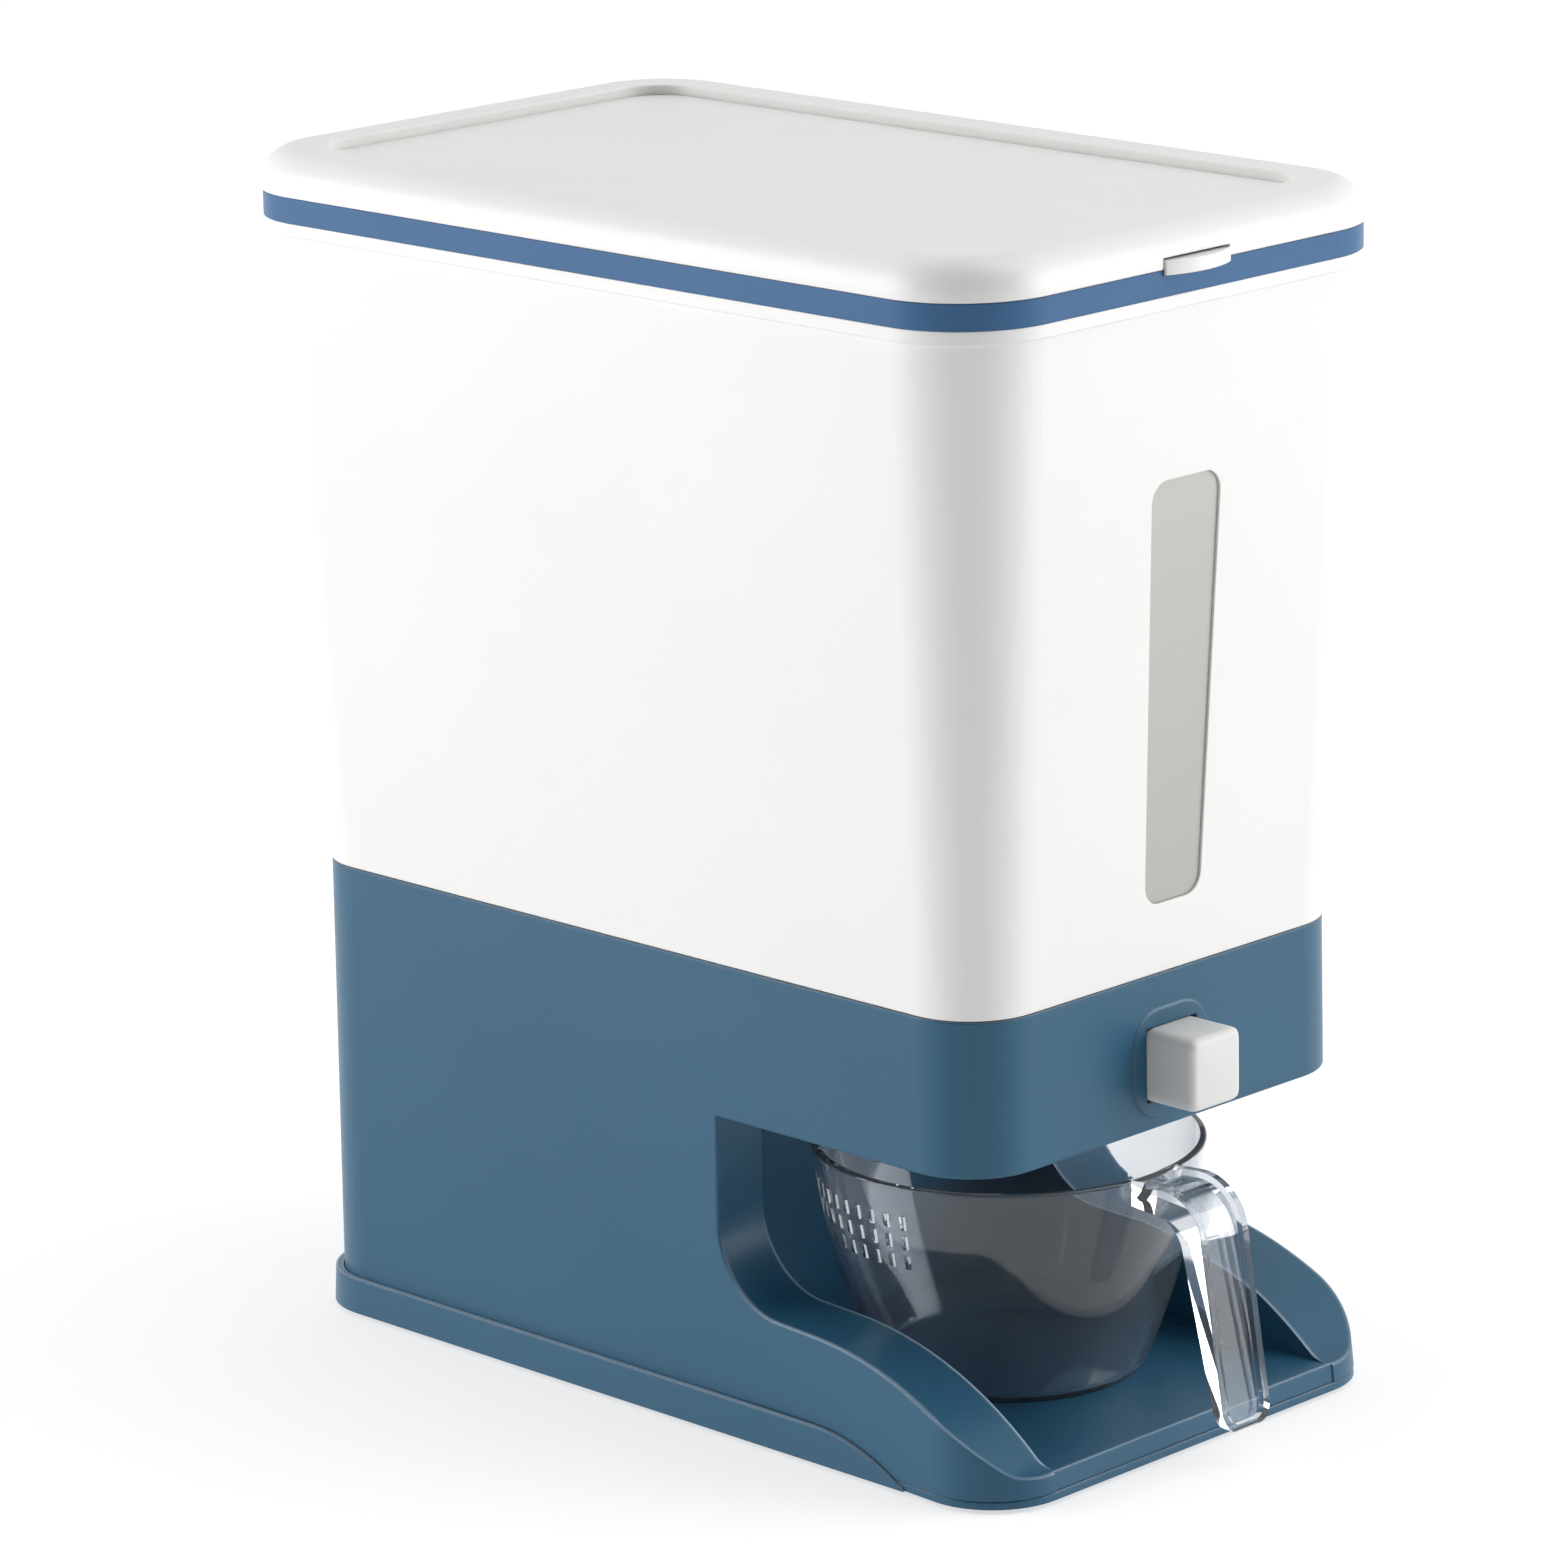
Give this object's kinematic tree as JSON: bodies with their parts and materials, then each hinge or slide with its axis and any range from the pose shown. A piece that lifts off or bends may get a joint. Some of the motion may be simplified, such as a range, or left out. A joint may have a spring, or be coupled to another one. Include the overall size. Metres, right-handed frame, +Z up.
{
  "type": "rice container",
  "caption": "Tall tapered grain bin with a hinged lid on a stand, with a push button that opens a sprung gate over a clear cup with a strap handle in an open bay",
  "frame": {"origin": "on the floor under the middle of the whole outline", "axes": "+Z up, the button and the cup's handle face -Y, +X to the right seen from the front"},
  "size_m": [0.204, 0.368, 0.4015],
  "materials": {
    "slate_plastic": "satin",
    "band_plastic": "satin",
    "white_plastic": "satin",
    "window_plastic": "translucent",
    "inner_plastic": "satin",
    "clear_plastic": "clear",
    "pad_rubber": "matte",
    "gasket_rubber": "matte",
    "screw_steel": "plain",
    "spring_steel": "plain"
  },
  "bodies": {
    "base": {"stand": "slate_plastic", "bottom_plate": "slate_plastic", "foot_pads": "pad_rubber", "plate_screws": "screw_steel", "bin": "white_plastic", "window": "window_plastic", "hopper": "white_plastic", "bin_screws": "screw_steel", "chute": "inner_plastic", "gate_housing": "inner_plastic", "housing_screws": "screw_steel", "outlet_seal": "pad_rubber", "return_spring": "spring_steel", "collar": "band_plastic", "hinge_pins": "spring_steel"},
    "lid_body": {"lid": "white_plastic", "lid_gasket": "gasket_rubber", "catch_pin": "spring_steel"},
    "catch_body": {"lid_catch": "white_plastic"},
    "push_body": {"button": "white_plastic", "slide_gate": "inner_plastic"},
    "cup_body": {"cup": "clear_plastic"}
  },
  "joints": [
    {"name": "lid_hinge", "type": "hinge", "parent": "base", "child": "lid_body", "pos_m": [0, 0.18061, 0.3895], "axis": [-1, 0, 0], "range_deg": [0, 100]},
    {"name": "catch_hinge", "type": "hinge", "parent": "lid_body", "child": "catch_body", "pos_m": [0, -0.16299, 0.3898], "axis": [-1, 0, 0], "range_deg": [0, 20]},
    {"name": "push", "type": "slide", "parent": "base", "child": "push_body", "axis": [0, 1, 0], "range_m": [0, 0.014], "stiffness_N_per_m": 300, "springref_m": -0.006, "deforming": ["return_spring"]},
    {"name": "cup_pull", "type": "slide", "parent": "base", "child": "cup_body", "axis": [0, -1, 0], "range_m": [0, 0.25]}
  ]
}
